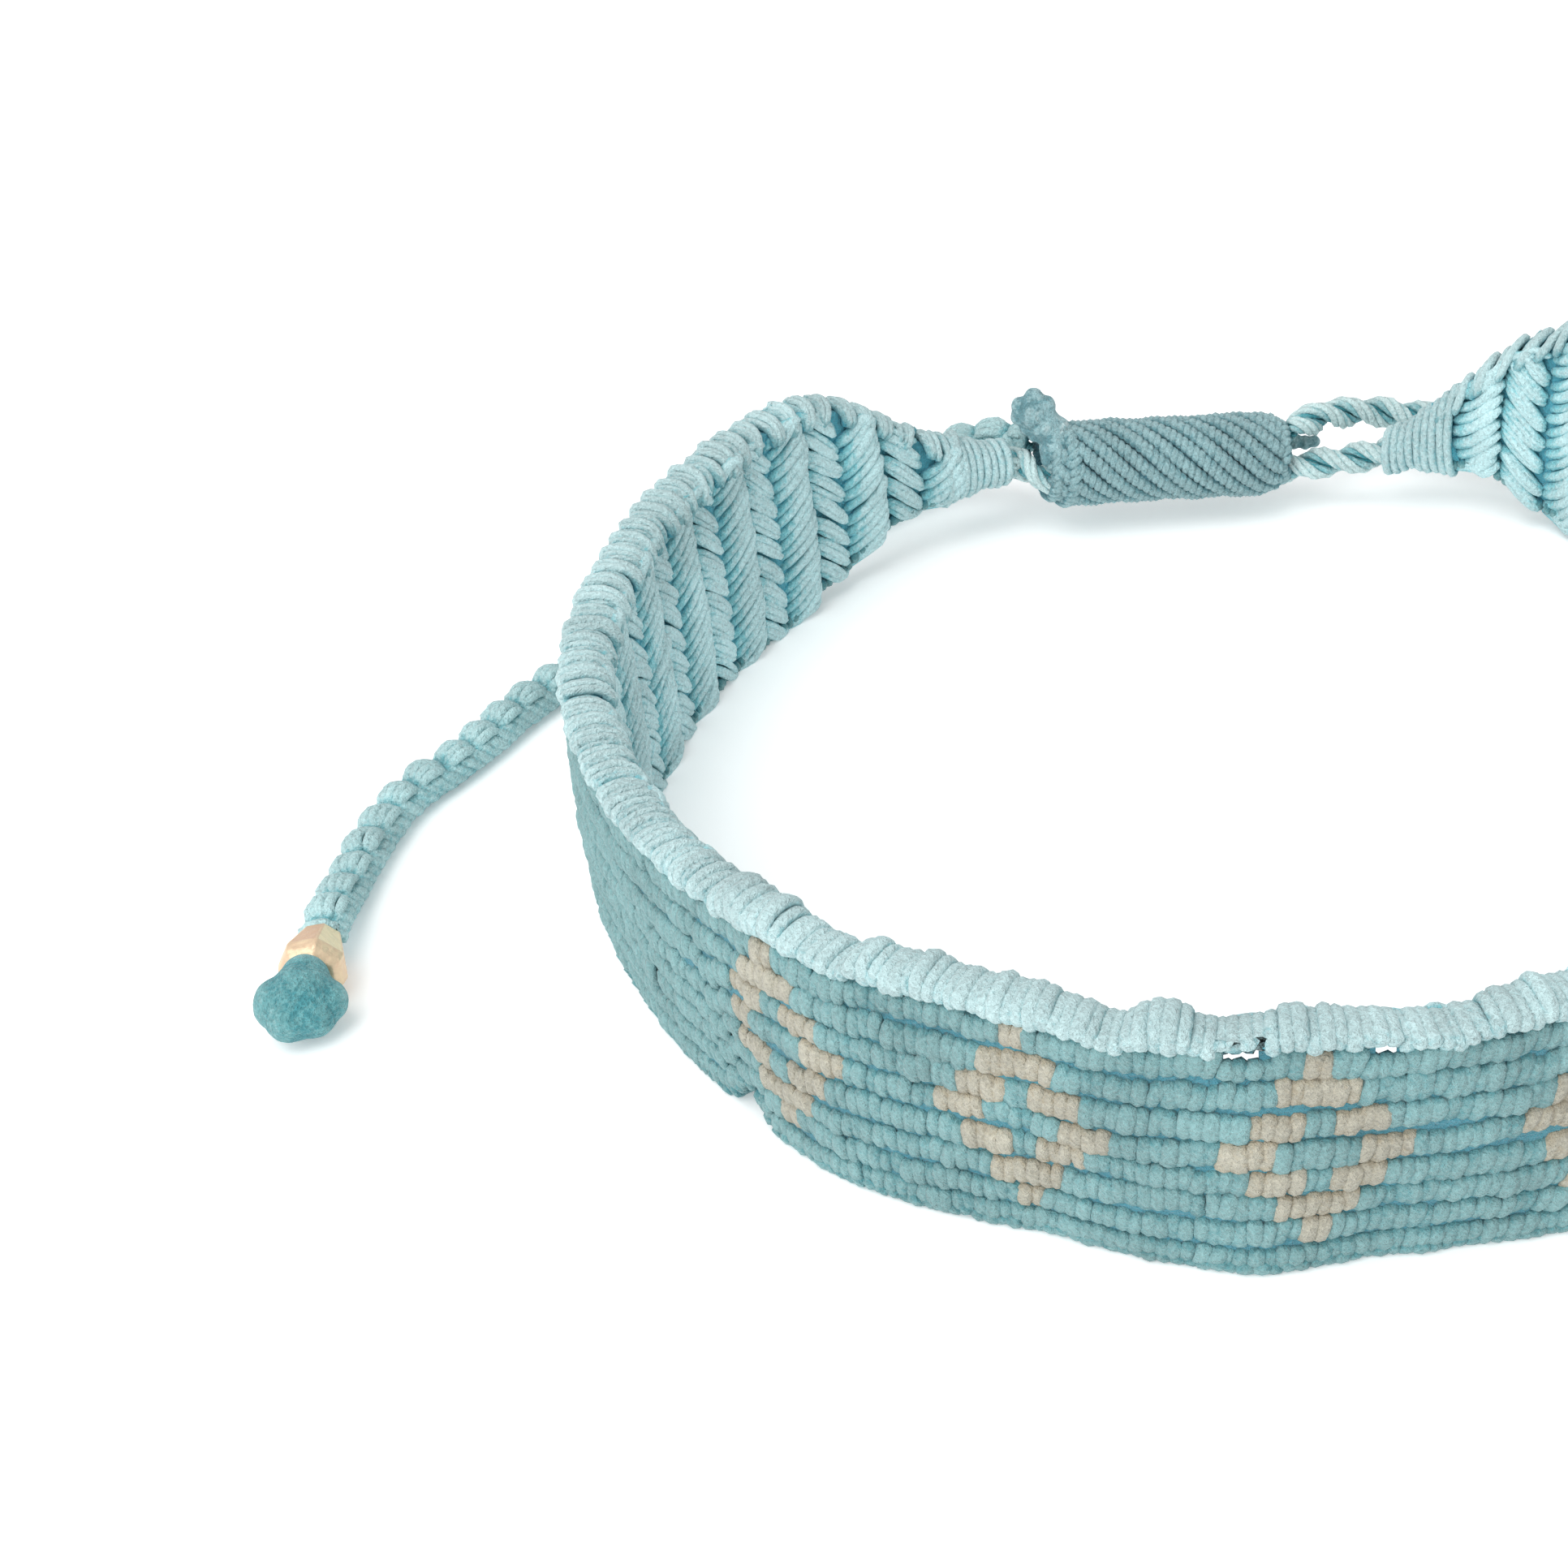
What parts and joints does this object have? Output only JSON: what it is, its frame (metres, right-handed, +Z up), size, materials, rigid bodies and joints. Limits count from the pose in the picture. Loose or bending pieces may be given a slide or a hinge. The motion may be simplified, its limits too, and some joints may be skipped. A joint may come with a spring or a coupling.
{
  "type": "friendship bracelet",
  "caption": "Knotted textile band bent into an upright ring, closed behind by tie cords in a sliding knot, with beaded tails; worn round a wrist.",
  "frame": {"origin": "middle of the box of the band and its closure, on the table that the band's lower edge stands on", "axes": "+Z up through the opening for the wrist, +X to the right seen from the front, -Y toward the front of the band; the closure is at the back, on +Y"},
  "size_m": [0.0858, 0.0618, 0.0116],
  "materials": {
    "band": "knotted cotton thread, light teal with a cream pattern on its outer face",
    "cord": "plied and braided cotton thread",
    "knot": "grey-teal cotton thread in diagonal turns",
    "bead": "faceted, pale gold, slightly bumpy",
    "end_knot": "felted cotton thread pulled into a lump"
  },
  "bodies": {
    "root": {"woven_band": "band", "whipping_left": "cord", "whipping_right": "cord", "tie_cord_left": "cord", "tie_cord_right": "cord", "sliding_knot": "knot", "tail_right": "cord", "tail_left": "cord", "bead_left": "bead", "bead_right": "bead", "end_knot_left": "end_knot", "end_knot_right": "end_knot"}
  },
  "joints": []
}
